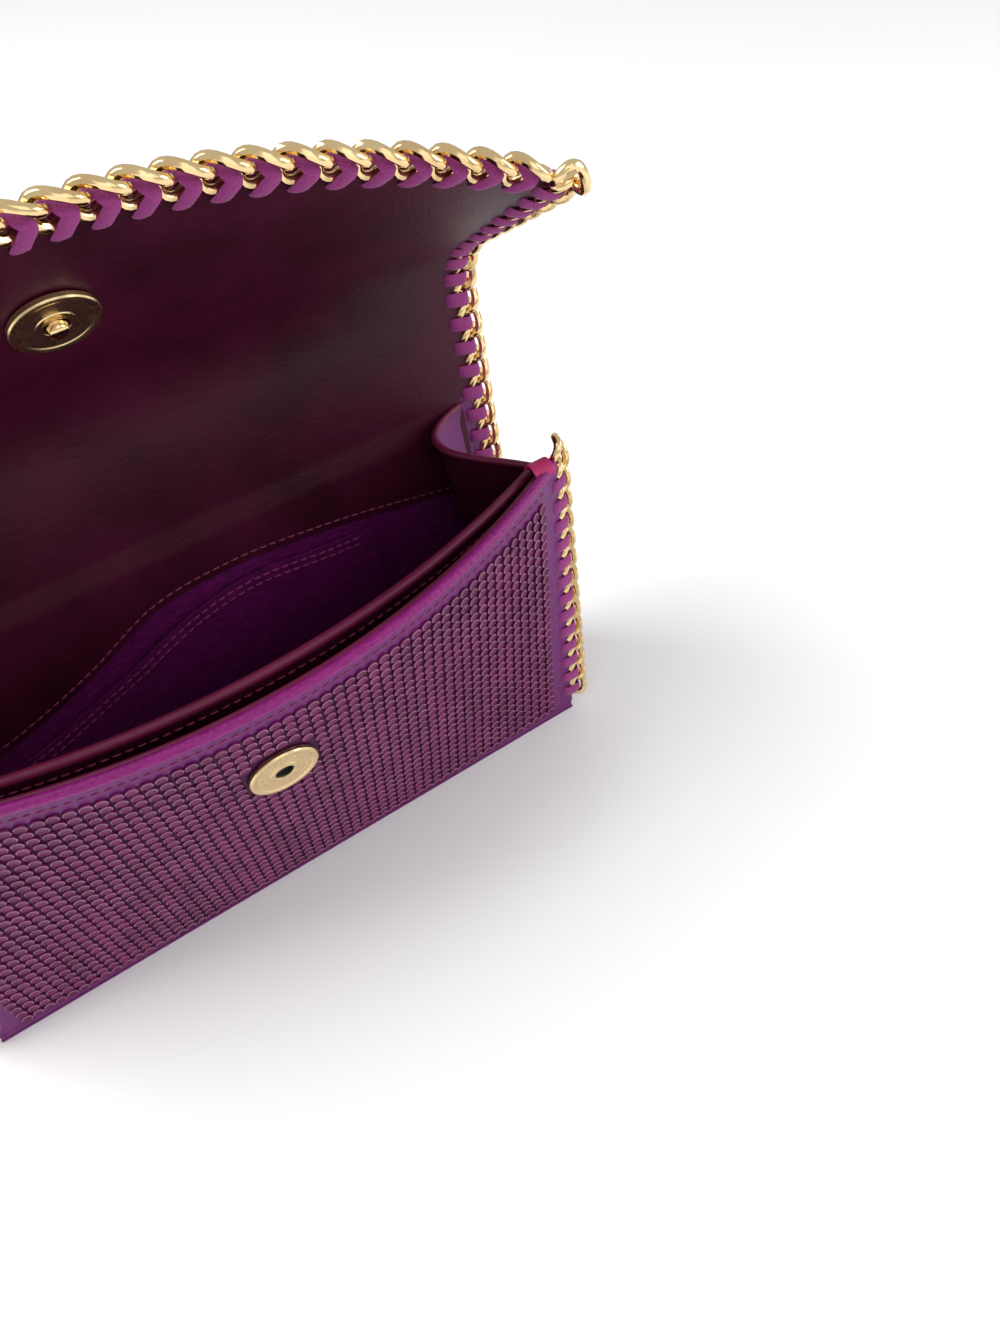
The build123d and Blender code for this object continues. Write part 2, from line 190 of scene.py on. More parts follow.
def sweep(path, wide, thick, across, sides=10, closed=False):
    """A cord along a path; across is the direction of its wide way."""
    path = np.asarray(path, float)
    if closed:
        run = np.roll(path, -1, 0) - np.roll(path, 1, 0)
    else:
        run = np.gradient(path, axis=0)
    run = unit(run)
    across = np.broadcast_to(across, path.shape)
    wide_way = unit(across - run * np.sum(across * run, -1, keepdims=True))
    thick_way = np.cross(run, wide_way)
    turn = np.linspace(0, 2 * np.pi, sides, endpoint=False)
    wide = np.broadcast_to(np.asarray(wide, float), len(path))[:, None, None]
    thick = np.broadcast_to(np.asarray(thick, float), len(path))[:, None, None]
    ring = wide_way[:, None] * np.cos(turn)[:, None] * wide
    ring = ring + thick_way[:, None] * np.sin(turn)[:, None] * thick
    points = (path[:, None] + ring).reshape(-1, 3)
    count = len(path)
    faces = []
    for i in range(count if closed else count - 1):
        j = (i + 1) % count
        for k in range(sides):
            l = (k + 1) % sides
            faces.append((i * sides + k, i * sides + l, j * sides + l, j * sides + k))
    if not closed:
        faces += [tuple(range(sides))[::-1], tuple((count - 1) * sides + k for k in range(sides))]
    return points, faces


def turned(profile, sides=64):
    """A shape turned on a lathe about Z from (radius, height) points; it closes on itself."""
    turn = np.linspace(0, 2 * np.pi, sides, endpoint=False)
    rings = [np.stack([r * np.cos(turn), r * np.sin(turn), np.full(sides, h)], -1) for r, h in profile]
    faces = []
    for i in range(len(profile)):
        j = (i + 1) % len(profile)
        for k in range(sides):
            l = (k + 1) % sides
            faces.append((i * sides + k, i * sides + l, j * sides + l, j * sides + k))
    return np.vstack(rings), faces


def joined(shapes):
    points, faces, base = [], [], 0
    for some, sides in shapes:
        points.append(some)
        faces += [tuple(k + base for k in face) for face in sides]
        base += len(some)
    return np.vstack(points), faces


def laid(shape, at, along, over, normal):
    """A shape made on X, Y, Z, laid at a place on three directions."""
    points, faces = shape
    return points[:, :1] * along + points[:, 1:2] * over + points[:, 2:] * normal + at, faces


def piece(name, shape, material, body, replaces=(), bend=None, sharp=40):
    """Make the object, then either let it ride on a body or, when bend is given, fix it in place."""
    points, faces = shape
    mesh = bpy.data.meshes.new(name)
    mesh.from_pydata((points * MM).tolist(), [], faces)
    work = bmesh.new()
    work.from_mesh(mesh)
    bmesh.ops.remove_doubles(work, verts=work.verts, dist=1e-7)
    bmesh.ops.recalc_face_normals(work, faces=work.faces)
    work.to_mesh(mesh)
    work.free()
    mesh.polygons.foreach_set("use_smooth", [True] * len(mesh.polygons))
    mesh.set_sharp_from_angle(angle=math.radians(sharp))
    thing = bpy.data.objects.new(name, mesh)
    bpy.context.collection.objects.link(thing)
    mesh.materials.append(material)
    if bend:
        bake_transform(thing)
    else:
        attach(thing, body)
    if replaces:
        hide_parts(*replaces)
    print(f"{name}: {len(mesh.polygons)} faces")
    return thing


HINGE_REACH, CREASE_REACH = 8, 12
GUSSET_REAR, GUSSET_FRONT = np.array([0, 17.0, 40.0]), np.array([0, -12.0, 40.0])
AT_HINGE = ("back_and_base", "top_strip",
            HINGE_AT - rise(LEAN) * HINGE_REACH, HINGE_AT + rise(LEAN) * HINGE_REACH)
AT_CREASE = ("top_strip", "flap",
             CREASE_AT - rise(LEAN) * CREASE_REACH, CREASE_AT + rise(TIP) * CREASE_REACH)
AT_MOUTH = ("back_and_base", "front_panel", GUSSET_REAR, GUSSET_FRONT)

# %% [markdown]
# Cloth, leather and suede show the same few effects: a fine weave, a pebbled grain with
# creases, and a soft nap. Each effect is one node group with its own inputs, built once,
# so that a material only says how large and how strong the effect is.

# %% Helpers for node groups
def node_group(name, inputs, outputs):
    tree = bpy.data.node_groups.new(name, "ShaderNodeTree")
    for label, value in inputs.items():
        socket = tree.interface.new_socket(label, in_out="INPUT", socket_type="NodeSocketFloat")
        socket.default_value = value
    for label in outputs:
        tree.interface.new_socket(label, in_out="OUTPUT", socket_type="NodeSocketFloat")
    return tree, tree.nodes.new("NodeGroupInput"), tree.nodes.new("NodeGroupOutput")


def add(tree, kind, **values):
    node = tree.nodes.new(kind)
    for key, value in values.items():
        if hasattr(node, key):
            setattr(node, key, value)
        else:
            node.inputs[key.replace("_", " ")].default_value = value
    return node


def math_node(tree, operation, a, b):
    node = tree.nodes.new("ShaderNodeMath")
    node.operation = operation
    for socket, value in zip(node.inputs, (a, b)):
        if isinstance(value, (int, float)):
            socket.default_value = value
        else:
            tree.links.new(value, socket)
    return node.outputs[0]


def placed_coordinates(tree, stretch=(1, 1, 1)):
    coordinates = tree.nodes.new("ShaderNodeTexCoord")
    mapping = tree.nodes.new("ShaderNodeMapping")
    mapping.inputs["Scale"].default_value = stretch
    tree.links.new(coordinates.outputs["Object"], mapping.inputs["Vector"])
    return mapping.outputs[0]


def noise(tree, vector, scale, detail=3.0, rough=0.55):
    node = add(tree, "ShaderNodeTexNoise", Detail=detail, Roughness=rough)
    tree.links.new(vector, node.inputs["Vector"])
    if isinstance(scale, (int, float)):
        node.inputs["Scale"].default_value = scale
    else:
        tree.links.new(scale, node.inputs["Scale"])
    return node.outputs[0]


# %% The weave, the grain and the nap
def make_weave():
    """Long floats of satin thread, broken by short crossings, with slow cloudy shading."""
    sizes, results = {"Threads per metre": 2600.0}, ("Height", "Threads", "Cloud")
    tree, given, out = node_group("satin_weave", sizes, results)
    threads = noise(tree, placed_coordinates(tree, (0.16, 1, 1)), given.outputs[0], 2.0)
    coarser = math_node(tree, "MULTIPLY", given.outputs[0], 0.7)
    crossings = noise(tree, placed_coordinates(tree, (1, 0.4, 0.4)), coarser, 1.0)
    most = math_node(tree, "MULTIPLY", threads, 0.7)
    height = math_node(tree, "ADD", most, math_node(tree, "MULTIPLY", crossings, 0.3))
    tree.links.new(height, out.inputs["Height"])
    tree.links.new(threads, out.inputs["Threads"])
    tree.links.new(noise(tree, placed_coordinates(tree), 55.0, 4.0), out.inputs["Cloud"])
    return tree


def make_grain():
    """Pebbles of leather, with long shallow creases that lie across the panel."""
    sizes, results = {"Pebbles per metre": 1100.0, "Creases": 0.5}, ("Height", "Creases", "Cloud")
    tree, given, out = node_group("leather_grain", sizes, results)
    flat = placed_coordinates(tree)
    pebble = add(tree, "ShaderNodeTexVoronoi")
    tree.links.new(flat, pebble.inputs["Vector"])
    tree.links.new(given.outputs[0], pebble.inputs["Scale"])
    fine = noise(tree, flat, 3800.0, 2.0)
    lines = noise(tree, placed_coordinates(tree, (0.35, 1, 1)), 260.0, 6.0, 0.7)
    ridge = math_node(tree, "ABSOLUTE", math_node(tree, "SUBTRACT", lines, 0.5), 0)
    crease = math_node(tree, "SUBTRACT", 1.0, math_node(tree, "MULTIPLY", ridge, 9.0))
    crease = math_node(tree, "MULTIPLY", math_node(tree, "MAXIMUM", crease, 0.0), given.outputs[1])
    pebbles = math_node(tree, "MULTIPLY", pebble.outputs[0], 0.5)
    rough = math_node(tree, "ADD", pebbles, math_node(tree, "MULTIPLY", fine, 0.4))
    tree.links.new(math_node(tree, "SUBTRACT", rough, crease), out.inputs["Height"])
    tree.links.new(crease, out.inputs["Creases"])
    tree.links.new(noise(tree, flat, 38.0, 4.0), out.inputs["Cloud"])
    return tree


def make_nap():
    """The soft nap of suede, and the faint dust and rubbing that any finish picks up."""
    tree, given, out = node_group("fine_nap", {"Tufts per metre": 2500.0}, ("Height", "Cloud"))
    flat = placed_coordinates(tree)
    tree.links.new(noise(tree, flat, given.outputs[0], 4.0, 0.7), out.inputs["Height"])
    slower = math_node(tree, "MULTIPLY", given.outputs[0], 0.12)
    tree.links.new(noise(tree, flat, slower, 3.0), out.inputs["Cloud"])
    return tree


WEAVE, GRAIN, NAP = make_weave(), make_grain(), make_nap()
print("node groups", WEAVE.name, GRAIN.name, NAP.name)

# %% [markdown]
# A material here is a Principled shader with two colours mixed by a mask, a roughness that
# follows another mask, and a bump from the group's height. Values that are the same all
# over the surface, such as sheen and coat, are set on the shader itself.

# %% A material with two colours, a roughness and a bump
USUAL_MASK = (0.3, 0.7)


def material(name, group, values, dark, light, rough, bump, mask=USUAL_MASK, colour_of="Cloud", **shader):
    """Two colours by one mask, a range of roughness by the cloud, and a bump by the height."""
    made = bpy.data.materials.new(name)
    made.use_nodes = True
    tree = made.node_tree
    skin = tree.nodes["Principled BSDF"]
    effect = tree.nodes.new("ShaderNodeGroup")
    effect.node_tree = group
    for socket, value in values.items():
        effect.inputs[socket].default_value = value
    ramp = tree.nodes.new("ShaderNodeValToRGB")
    for stop, place, colour in zip(ramp.color_ramp.elements, mask, (dark, light)):
        stop.position = place
        stop.color = (*colour, 1)
    tree.links.new(effect.outputs[colour_of], ramp.inputs[0])
    tree.links.new(ramp.outputs[0], skin.inputs["Base Color"])
    roughness = tree.nodes.new("ShaderNodeMapRange")
    roughness.inputs["To Min"].default_value, roughness.inputs["To Max"].default_value = rough
    tree.links.new(effect.outputs["Cloud"], roughness.inputs["Value"])
    tree.links.new(roughness.outputs[0], skin.inputs["Roughness"])
    relief = tree.nodes.new("ShaderNodeBump")
    relief.inputs["Strength"].default_value, relief.inputs["Distance"].default_value = bump
    tree.links.new(effect.outputs["Height"], relief.inputs["Height"])
    tree.links.new(relief.outputs[0], skin.inputs["Normal"])
    for key, value in shader.items():
        skin.inputs[key.replace("_", " ")].default_value = value
    return made


# %% [markdown]
# Satin is the same weave three times: violet for the outside, magenta for the rolled edge
# and a deeper purple inside. The threads show in its colour, and a little sheen lights up
# the cloth where it turns away.

# %% Satins
SATIN = material(
    "violet_satin", WEAVE, {"Threads per metre": 2600.0},
    dark=(0.085, 0.006, 0.08), light=(0.19, 0.017, 0.17), rough=(0.4, 0.55), bump=(0.5, 0.0002),
    colour_of="Threads", Sheen_Weight=0.12, Sheen_Roughness=0.35, Sheen_Tint=(0.9, 0.45, 0.9, 1),
    Specular_IOR_Level=0.3)
BINDING = material(
    "magenta_satin", WEAVE, {"Threads per metre": 3000.0},
    dark=(0.17, 0.003, 0.11), light=(0.3, 0.012, 0.2), rough=(0.38, 0.5), bump=(0.5, 0.0002),
    colour_of="Threads", Sheen_Weight=0.1, Sheen_Roughness=0.3, Sheen_Tint=(1, 0.5, 0.9, 1),
    Specular_IOR_Level=0.3)
INSIDE = material(
    "inside_satin", WEAVE, {"Threads per metre": 2300.0},
    dark=(0.045, 0.001, 0.036), light=(0.17, 0.006, 0.13), rough=(0.3, 0.45), bump=(0.6, 0.00025),
    mask=(0.28, 0.75), colour_of="Threads", Sheen_Weight=0.3, Sheen_Roughness=0.3,
    Sheen_Tint=(0.9, 0.35, 0.85, 1))
print("satins", SATIN.name, BINDING.name, INSIDE.name)

# %% [markdown]
# The leather is dark and slightly glossy, with a fine grain. Rolled edges catch more light
# and look redder, so they have a lighter colour. The lace is suede, which is matt.

# %% Leathers and suede
LEATHER = material(
    "burgundy_leather", GRAIN, {"Pebbles per metre": 1100.0, "Creases": 0.35},
    dark=(0.026, 0.0006, 0.008), light=(0.066, 0.002, 0.021), rough=(0.38, 0.55),
    bump=(0.35, 0.00018), mask=(0.3, 0.75), Specular_IOR_Level=0.3)
ROLLED = material(
    "rolled_leather", GRAIN, {"Pebbles per metre": 1300.0, "Creases": 0.1},
    dark=(0.1, 0.005, 0.034), light=(0.17, 0.012, 0.056), rough=(0.34, 0.46), bump=(0.3, 0.00015),
    mask=(0.3, 0.75), Specular_IOR_Level=0.35)
LACE = material(
    "suede_lace", NAP, {"Tufts per metre": 2600.0},
    dark=(0.2, 0.014, 0.125), light=(0.34, 0.04, 0.225), rough=(0.75, 0.9), bump=(0.7, 0.0002),
    colour_of="Height", Sheen_Weight=0.2, Sheen_Roughness=0.5, Sheen_Tint=(1, 0.6, 0.9, 1))
print("leathers", LEATHER.name, ROLLED.name, LACE.name)

# %% [markdown]
# Gold plate is almost a mirror on the chain and a little duller on the snap. Behind them
# are a dark magnet, the fibre board and two sewing threads.

# %% Metals, thread and board
GOLD = material(
    "gold_plate", NAP, {"Tufts per metre": 900.0},
    dark=(0.80, 0.56, 0.26), light=(0.92, 0.70, 0.38), rough=(0.1, 0.22), bump=(0.05, 0.00005),
    Metallic=1.0)
BRUSHED = material(
    "gold_snap", NAP, {"Tufts per metre": 1800.0},
    dark=(0.74, 0.54, 0.27), light=(0.88, 0.69, 0.38), rough=(0.2, 0.34), bump=(0.15, 0.00006),
    colour_of="Height", Metallic=1.0)
PLUM_THREAD = material(
    "plum_thread", NAP, {"Tufts per metre": 4000.0},
    dark=(0.16, 0.012, 0.06), light=(0.3, 0.03, 0.12), rough=(0.5, 0.7), bump=(0.5, 0.0001),
    colour_of="Height")
PINK_THREAD = material(
    "pink_thread", NAP, {"Tufts per metre": 4000.0},
    dark=(0.45, 0.012, 0.12), light=(0.65, 0.03, 0.2), rough=(0.45, 0.6), bump=(0.5, 0.0001),
    colour_of="Height")
BOARD = material(
    "grey_board", NAP, {"Tufts per metre": 1500.0},
    dark=(0.2, 0.18, 0.16), light=(0.3, 0.27, 0.24), rough=(0.8, 0.95), bump=(0.5, 0.0001))
DARK_METAL = material(
    "magnet_metal", NAP, {"Tufts per metre": 1500.0},
    dark=(0.06, 0.06, 0.065), light=(0.12, 0.12, 0.12), rough=(0.35, 0.5), bump=(0.3, 0.0001),
    Metallic=1.0)

# %% [markdown]
# A stone has a plum middle and a paler lip, which are two materials on one mesh. The lip's paler
# colour is a painted highlight, for the light that the raised lip catches. The satin between the
# stones lies in their shade, so a darker satin is laid under them as painted shade.

# %% Stones, the painted highlight on their lips, and the painted shade between them
STONES = material(
    "plum_stones", NAP, {"Tufts per metre": 700.0},
    dark=(0.085, 0.003, 0.045), light=(0.17, 0.01, 0.095), rough=(0.3, 0.42), bump=(0.1, 0.00005),
    Specular_IOR_Level=0.3)
# The lip's paler pink is a painted highlight: it stands in for the light that the raised lip catches.
STONE_LIP_HIGHLIGHT = material(
    "stone_lip_painted_highlight", NAP, {"Tufts per metre": 900.0},
    dark=(0.22, 0.07, 0.15), light=(0.4, 0.16, 0.28), rough=(0.25, 0.4), bump=(0.1, 0.00005),
    Specular_IOR_Level=0.5)
# Painted shade: a dark satin for the shade that the stones cast on the satin between them.
SHADE = material(
    "painted_shade_under_stones", WEAVE, {"Threads per metre": 2600.0},
    dark=(0.03, 0.002, 0.025), light=(0.08, 0.008, 0.07), rough=(0.5, 0.7), bump=(0.5, 0.0002),
    colour_of="Threads", Specular_IOR_Level=0.2)
print("materials", len(bpy.data.materials))

# %% [markdown]
# CAD nodes whose shape is right stay in view and only get a finish.

# %% Finish the CAD nodes that stay
BY_SLOT = {"satin": SATIN, "satin_binding": BINDING, "satin_inside": INSIDE, "leather": LEATHER,
           "board": BOARD, "crystals": STONES, "gold_chain": GOLD, "gold_snap": BRUSHED,
           "magnet": DARK_METAL, "steel_washer": DARK_METAL, "suede_lace": LACE,
           "thread_plum": PLUM_THREAD, "thread_pink": PINK_THREAD}
for part in frame["record"]["subparts"]:
    node = frame["nodes"][part["node"]]
    node.data.materials.clear()
    node.data.materials.append(BY_SLOT[part["material_slot"]])

# %% [markdown]
# The wall's skins come next: satin outside, leather inside. Each is cut in two half way up
# the strip. The lower one spans the back hinge and the upper one the crease, and they meet
# on the same points.

# %% Satin and leather of the back, the strip and the flap
SPLIT = (HINGE + CREASE) / 2
SKIN_GAP = 0.03             # between the satin and the leather, half way through the wall
EDGE_ROUND = 3.0            # the width over which a wall thins towards its side


def wall_sheet(low, high, top_depth, bottom_depth, half=HALF, rows=60, columns=73):
    """A skin of the wall between two heights and two depths."""
    x, s = np.meshgrid(np.linspace(-half, half, columns), np.linspace(low, high, rows), indexing="ij")
    near_edge = np.clip((half - np.abs(x)) / EDGE_ROUND, 0, 1)
    soft = 0.25 * (1 - near_edge) ** 2
    return closed_sheet(off(wall_mid, x, s, top_depth - soft), off(wall_mid, x, s, bottom_depth + soft))


piece("back_satin", wall_sheet(0.0, SPLIT, WALL / 2, SKIN_GAP), SATIN, None,
      ("back_outer", "back_board"), AT_HINGE)
piece("flap_satin", wall_sheet(SPLIT, EDGE, WALL / 2, SKIN_GAP), SATIN, None,
      ("strip_outer", "strip_board", "flap_outer", "flap_board"), AT_CREASE)
piece("flap_leather", wall_sheet(SPLIT, EDGE, -SKIN_GAP, -WALL / 2), LEATHER, None,
      ("strip_lining", "flap_lining"), AT_CREASE)


# %% [markdown]
# The flap's leather runs on down inside the back panel as a tail with a wavy lower edge,
# which is drawn through a few points. Above the hinge the tail thins to a film on the
# strip's own leather, so that the two look like one.

# %% Wavy edges and the leather tail
TAIL_HALF = 87
TAIL_THICK, TAIL_THIN = 1.0, 0.05
TAIL_EDGE = [(-87, 47), (-55, 51), (-27, 60.5), (-7, 70), (15, 72.5), (40, 70.5), (87, 62)]
HEM_EDGE = [(-66, 45), (-46, 48.5), (-21, 57.5), (0, 66), (17, 69), (35, 68), (53, 65.5)]


def wave(points, x):
    """A smooth height at x along an edge drawn through a few points."""
    px, py = np.array(points, float).T
    slope = np.gradient(py, px)
    i = np.clip(np.searchsorted(px, x) - 1, 0, len(px) - 2)
    gap = px[i + 1] - px[i]
    t = (x - px[i]) / gap
    near = (2 * t ** 3 - 3 * t ** 2 + 1) * py[i] + (t ** 3 - 2 * t ** 2 + t) * gap * slope[i]
    return near + (3 * t ** 2 - 2 * t ** 3) * py[i + 1] + (t ** 3 - t ** 2) * gap * slope[i + 1]


def tail_low(x):
    """The wavy lower edge of the leather that runs down inside the back panel."""
    return wave(TAIL_EDGE, x)


def tail():
    """The tail as one sheet, from its wavy edge up to the middle of the strip."""
    x, t = np.meshgrid(np.linspace(-TAIL_HALF, TAIL_HALF, 91), np.linspace(0, 1, 50), indexing="ij")
    s = tail_low(x) + (SPLIT - tail_low(x)) * t
    below_hinge = np.clip((HINGE - 2 - s) / 6, 0, 1)
    thick = TAIL_THIN + (TAIL_THICK - TAIL_THIN) * below_hinge
    return closed_sheet(off(wall_mid, x, s, -WALL / 2), off(wall_mid, x, s, -WALL / 2 - thick))


piece("tail_leather", tail(), LEATHER, None, ("lining_tail",), AT_HINGE)
piece("strip_leather", wall_sheet(HINGE - 3, SPLIT, -SKIN_GAP, -WALL / 2), LEATHER, None,
      (), AT_HINGE)

# %% [markdown]
# The front panel is straight at its foot and bowed at its top. Its satin is one sheet, its
# leather lining another, and a rolled magenta edge and a rolled leather edge finish the top.
# The divider behind it has the same kind of shape, in leather only.

# %% Front panel, divider and their rolled edges
def panel_sheet(surface, half, low, high, outer, inner, rows=44, columns=73):
    """A skin of the front panel or the divider."""
    x, z = np.meshgrid(np.linspace(-half, half, columns), np.linspace(low, high, rows), indexing="ij")
    return closed_sheet(off(surface, x, z, outer, -1), off(surface, x, z, inner, -1))


def top_roll(surface, half, z, depth, radius):
    """A smooth leather roll along a panel's top."""
    x = np.linspace(-half, half, 90)
    return sweep(off(surface, x, z, depth, -1), radius, radius, (0, 1, 0), 14)


def ribbed_roll(surface, half, z, depth, radius):
    """A roll of satin pulled tight over a cord, with the small cross folds that sewing leaves."""
    x = np.linspace(-half, half, 620)
    fold_length = 1.7 + 0.25 * np.sin(x / 7.0)
    fold = np.abs(np.sin(np.pi * np.cumsum(np.gradient(x) / fold_length))) ** 0.6
    size = radius * (0.91 + 0.09 * fold + 0.015 * np.sin(x / 3.1))
    return sweep(off(surface, x, z, depth, -1), size, size, (0, 1, 0), 14)


FRONT_LOW, FRONT_HIGH = 3.0, 92.6
DIVIDER_LOW, DIVIDER_HIGH = 3.8, 89.6
piece("front_satin", panel_sheet(front_mid, HALF, FRONT_LOW, FRONT_HIGH, WALL / 2, 0.05),
      SATIN, "front_panel", ("front_outer", "front_board"))
piece("front_leather", panel_sheet(front_mid, HALF - 1.4, FRONT_LOW, FRONT_HIGH - 0.8, -0.05, -WALL / 2),
      LEATHER, "front_panel", ("front_lining",))
piece("front_magenta_roll", ribbed_roll(front_mid, HALF - 0.8, FRONT_HIGH + 0.1, 0.45, 1.35),
      BINDING, "front_panel", ("front_top_binding",))
piece("front_leather_roll", top_roll(front_mid, HALF - 2.5, FRONT_HIGH - 0.7, -1.35, 0.85),
      ROLLED, "front_panel")
piece("divider_leather",
      panel_sheet(divider_mid, DIVIDER_HALF, DIVIDER_LOW, DIVIDER_HIGH, DIVIDER_SKIN, -DIVIDER_SKIN),
      LEATHER, "divider", ("divider_front_leather", "divider_board", "divider_back_leather"))
piece("divider_roll", top_roll(divider_mid, DIVIDER_HALF - 0.6, DIVIDER_HIGH + 0.2, 0.0, 1.3),
      ROLLED, "divider", ("divider_rolled_top",))

# %% [markdown]
# At the foot, satin turns under the front and the back panel in a soft roll, which hides
# the line where the front panel swings on the base.

# %% Rolled foot
ROLL_Y = HALF_DEPTH - 1.9


def foot_roll(y):
    x = np.linspace(-HALF + 0.5, HALF - 0.5, 60)
    return sweep(np.stack([x, np.full(60, y), np.full(60, 2.0)], -1), 2.0, 1.95, (0, 1, 0), 16)


piece("foot_roll_front", foot_roll(-ROLL_Y), SATIN, "back_and_base")
piece("foot_roll_back", foot_roll(ROLL_Y), SATIN, "back_and_base")

# %% [markdown]
# A gusset closes each side. It is a folded sheet, satin outside and leather inside, which
# runs from the back panel in towards the middle and out again to the front.

# %% Gussets
GUSSET_STEPS = 48
GUSSET_THICK = 0.7
FOLD_AT_FOOT, FOLD_MORE_AT_TOP = 2.5, 13.5


def gusset_line(side, z, skin):
    """The gusset's line at one height, from the back panel to the front."""
    t = np.linspace(0, 1, GUSSET_STEPS)
    rear = HALF_DEPTH - 2.4 + (z - 3) * math.tan(LEAN)
    front = -HALF_DEPTH + 3.0 + FRONT_SHIFT * z / FRONT_TALL
    fold = FOLD_AT_FOOT + FOLD_MORE_AT_TOP * (z / 90.0) ** 1.2
    inward = fold * np.sin(np.pi * t ** 0.62) ** 1.25
    x = (HALF - 0.7 - skin) - inward
    return np.stack([side * x, rear + (front - rear) * t, np.full(GUSSET_STEPS, z)], -1)


def gusset(side, skin, top):
    """One skin of a gusset, made from the lines at many heights."""
    heights = np.linspace(4, top, 40)
    outer = np.stack([gusset_line(side, z, skin) for z in heights])
    inner = np.stack([gusset_line(side, z, skin + GUSSET_THICK) for z in heights])
    return closed_sheet(outer, inner)


for side, word in ((-1, "left"), (1, "right")):
    piece(f"gusset_{word}_satin", gusset(side, 0.0, 90.5), SATIN, None,
          (f"gusset_{word}_outer",), AT_MOUTH)
    piece(f"gusset_{word}_leather", gusset(side, 0.75, 89.6), LEATHER, None,
          (f"gusset_{word}_lining",), AT_MOUTH)
    rim = gusset_line(side, 90.2, 1.1)[1:-1]
    piece(f"gusset_{word}_roll", sweep(rim, 0.9, 0.9, (0, 0, 1), 10), ROLLED, None,
          (), AT_MOUTH)

# %% [markdown]
# The slip pocket is a satin patch, sewn at its sides and foot and open at its top, where
# its hem stands a little away from the panel.

# %% Slip pocket
POCKET_LEFT, POCKET_RIGHT, POCKET_FOOT = -66.0, 53.0, 6.0
POCKET_BACK, POCKET_CLOTH, HEM_MORE = -2.5, 0.5, 0.35


def pocket_hem(x):
    """The height of the pocket's wavy upper edge."""
    return wave(HEM_EDGE, x)


def pocket_depth(x, t):
    """How deep the cloth lies; it stands away from the panel towards its hem, with soft waves."""
    side = np.clip(np.minimum(x - POCKET_LEFT, POCKET_RIGHT - x) / 14, 0, 1)
    return POCKET_BACK - 1.3 * t * side - 0.3 * np.sin(x / 8.0 + 3 * t) * t * side


def pocket():
    across = np.linspace(POCKET_LEFT, POCKET_RIGHT, 110)
    x, t = np.meshgrid(across, np.linspace(0, 1, 30), indexing="ij")
    s = POCKET_FOOT + (pocket_hem(x) - POCKET_FOOT) * t
    depth = pocket_depth(x, t)
    hem = HEM_MORE * (t > 0.9)
    return closed_sheet(off(wall_mid, x, s, depth), off(wall_mid, x, s, depth - POCKET_CLOTH - hem))


patch = piece("pocket_satin", pocket(), INSIDE, "back_and_base", ("slip_pocket",))

# %% [markdown]
# Every sewn line is a row of short, fat stitches with a small gap between them, each
# sunk at its ends. They follow points that lie on the surface.

# %% Sewn lines
STITCH_STEP, STITCH_LENGTH, STITCH_THICK = 2.6, 1.9, 0.24


def sewn(path, normal):
    """Stitches along a path, each one bulging out along the normal."""
    path = np.asarray(path, float)
    run = np.r_[0, np.cumsum(np.linalg.norm(np.diff(path, axis=0), axis=1))]
    shapes = []
    normal = np.broadcast_to(normal, path.shape)
    for start in np.arange(0.4, run[-1] - STITCH_LENGTH, STITCH_STEP):
        t = np.linspace(start, start + STITCH_LENGTH, 7)
        line = np.stack([np.interp(t, run, path[:, k]) for k in range(3)], -1)
        lift = np.stack([np.interp(t, run, normal[:, k]) for k in range(3)], -1)
        arch = np.sin(np.linspace(0, np.pi, 7))
        line = line + lift * (arch * 0.16 - 0.08)[:, None]
        thick = STITCH_THICK * (0.55 + 0.45 * arch)
        shapes.append(sweep(line, thick, thick, lift, 6))
    return joined(shapes)


# %% Stitches of the tail and the pocket
seam_x = np.linspace(2 - TAIL_HALF, TAIL_HALF - 2, 120)
seam_s = tail_low(seam_x) + 1.9
seam = off(wall_mid, seam_x, seam_s, -WALL / 2 - TAIL_THICK - 0.05)
piece("tail_stitches", sewn(seam, -axes(wall_mid, seam_x, seam_s, 1)[2]), PLUM_THREAD,
      "back_and_base", ("lining_tail_stitching",))
hem_x = np.linspace(POCKET_LEFT + 2, POCKET_RIGHT - 2, 120)
hems = []
for drop in (1.4, 3.4):
    hem_s = pocket_hem(hem_x) - drop
    share = (hem_s - POCKET_FOOT) / (pocket_hem(hem_x) - POCKET_FOOT)
    deep = pocket_depth(hem_x, share) - POCKET_CLOTH - HEM_MORE * (share > 0.9) - 0.05
    hems.append(sewn(off(wall_mid, hem_x, hem_s, deep), -outward(LEAN)))
piece("pocket_stitches", joined(hems), PLUM_THREAD, "back_and_base",
      ("slip_pocket_stitching",))

# %% Stitches below the rolled edges
top_x = np.linspace(-DIVIDER_HALF + 2, DIVIDER_HALF - 2, 140)
for word, out in (("rear", 1.0), ("front", -1.0)):
    line = off(divider_mid, top_x, DIVIDER_HIGH - 3.0, -out * (DIVIDER_SKIN + 0.05), -1)
    piece(f"divider_stitches_{word}", sewn(line, np.array([0, out, 0])), PLUM_THREAD, "divider")
line = off(front_mid, top_x, FRONT_HIGH - 3.0, WALL / 2 + 0.03, -1)
piece("front_band_stitches", sewn(line, np.array([0, -1.0, 0])), PLUM_THREAD, "front_panel")

# %% [markdown]
# The stones are low and round, with a raised lip, and set close together in rows and
# columns. Some thousands of separate objects would be slow, so each panel's stones are one
# mesh, with every stone's tilt and size a little different, as glued stones are.

# %% Stones as one mesh
STONE_STEP = 3.0
STONE_RADIUS = 1.4
SIDES = 10
RINGS = ((0.97, 0.0), (1.0, 0.34), (0.95, 0.62), (0.82, 0.74), (0.7, 0.58), (0.36, 0.48))
LIP = (2, 3)                # the two rings with the lip between them
MIDDLE_HEIGHT = 0.46
UNEVEN_TILT, UNEVEN_SIZE, UNEVEN_PLACE = 0.07, 0.025, 0.07


